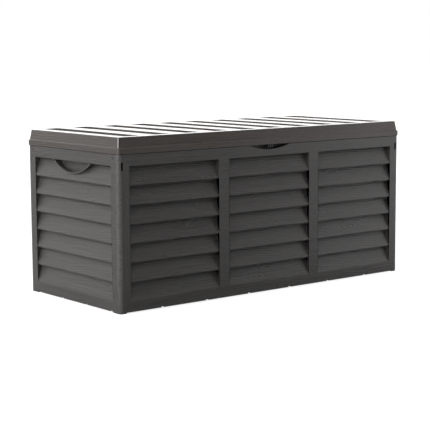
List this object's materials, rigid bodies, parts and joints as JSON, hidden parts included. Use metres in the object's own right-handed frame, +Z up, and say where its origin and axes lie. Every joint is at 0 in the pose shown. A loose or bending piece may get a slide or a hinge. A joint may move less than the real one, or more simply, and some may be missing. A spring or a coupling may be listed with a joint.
{
  "type": "deck storage box",
  "caption": "Long moulded deck box with louvred panels, side grip pockets, a latch recess and a rib-topped lid hinged along its back edge.",
  "frame": {"origin": "centre of the footprint, on the ground", "axes": "+X along the length, -Y towards the front with the latch recess, +Z up"},
  "size_m": [1.2, 0.52, 0.535],
  "materials": {
    "panel_plastic": "moulded polypropylene with an embossed wood grain",
    "lid_plastic": "moulded polypropylene, finely brushed along its length",
    "floor_plastic": "plain moulded polypropylene",
    "black_plastic": "satin moulded polypropylene",
    "hinge_nylon": "satin glass-filled nylon",
    "steel": "bright zinc plate"
  },
  "bodies": {
    "box_body": {"front_panel": "panel_plastic", "rear_panel": "panel_plastic", "left_side_panel": "panel_plastic", "right_side_panel": "panel_plastic", "left_floor": "floor_plastic", "right_floor": "floor_plastic", "padlock_keeper": "black_plastic", "left_hinge_body_leaf": "hinge_nylon", "left_hinge_pin": "steel", "left_body_screw_a": "steel", "left_body_screw_b": "steel", "middle_hinge_body_leaf": "hinge_nylon", "middle_hinge_pin": "steel", "middle_body_screw_a": "steel", "middle_body_screw_b": "steel", "right_hinge_body_leaf": "hinge_nylon", "right_hinge_pin": "steel", "right_body_screw_a": "steel", "right_body_screw_b": "steel", "front_left_corner_screw": "black_plastic", "front_right_corner_screw": "black_plastic", "rear_left_corner_screw": "black_plastic", "rear_right_corner_screw": "black_plastic"},
    "lid_body": {"lid": "lid_plastic", "lid_hasp": "black_plastic", "left_hinge_lid_leaf": "hinge_nylon", "left_lid_screw_a": "steel", "left_lid_screw_b": "steel", "middle_hinge_lid_leaf": "hinge_nylon", "middle_lid_screw_a": "steel", "middle_lid_screw_b": "steel", "right_hinge_lid_leaf": "hinge_nylon", "right_lid_screw_a": "steel", "right_lid_screw_b": "steel"}
  },
  "joints": [
    {"name": "lid_hinge", "type": "hinge", "parent": "box_body", "child": "lid_body", "pos_m": [0, 0.2545, 0.479], "axis": [-1, 0, 0], "range_deg": [0, 95]}
  ]
}
